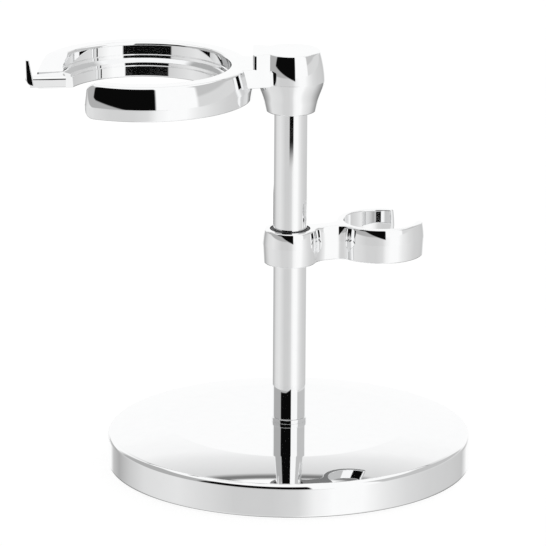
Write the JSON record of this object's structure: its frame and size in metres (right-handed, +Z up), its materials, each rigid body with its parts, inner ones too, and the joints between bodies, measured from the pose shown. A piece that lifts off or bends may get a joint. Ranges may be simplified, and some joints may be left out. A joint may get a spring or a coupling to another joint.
{
  "type": "shaving set stand",
  "caption": "Chromed counter stand for a shaving set: weighted round base, post, swivelling open bowl ring with a razor hook, and a brush clip that slides and turns on the post.",
  "frame": {"origin": "centre of the base's resting face, on the post's axis", "axes": "+Z up along the post, -X towards the bowl ring at rest, +Y to the back"},
  "size_m": [0.1597, 0.13, 0.1531],
  "materials": {
    "chrome": "polished chrome plate",
    "steel": "zinc plated",
    "iron": "as cast",
    "brass": "machined",
    "felt": "felt",
    "nylon": "black moulded nylon"
  },
  "bodies": {
    "stand": {"base_shell": "chrome", "base_ballast": "iron", "base_pad": "felt", "post_bolt": "steel", "bolt_washer": "steel", "bolt_lock_washer": "steel", "post_foot_ring": "chrome", "post_tube": "chrome", "post_foot_plug": "brass", "post_top_plug": "brass"},
    "bowl_arm": {"swivel_head": "chrome", "head_thrust_washer": "nylon", "head_set_screw": "steel", "bowl_ring": "chrome", "razor_hook": "chrome"},
    "brush_slider": {"clip_bush": "nylon"},
    "brush_arm": {"brush_clip": "chrome", "clip_set_screw": "steel"}
  },
  "joints": [
    {"name": "bowl_swivel", "type": "hinge", "parent": "stand", "child": "bowl_arm", "pos_m": [0, 0, 0.14], "axis": [0, 0, 1], "continuous": true},
    {"name": "brush_slide", "type": "slide", "parent": "stand", "child": "brush_slider", "axis": [0, 0, 1], "range_m": [-0.056, 0.042]},
    {"name": "brush_swivel", "type": "hinge", "parent": "brush_slider", "child": "brush_arm", "pos_m": [0, 0, 0.083], "axis": [0, 0, 1], "continuous": true}
  ]
}
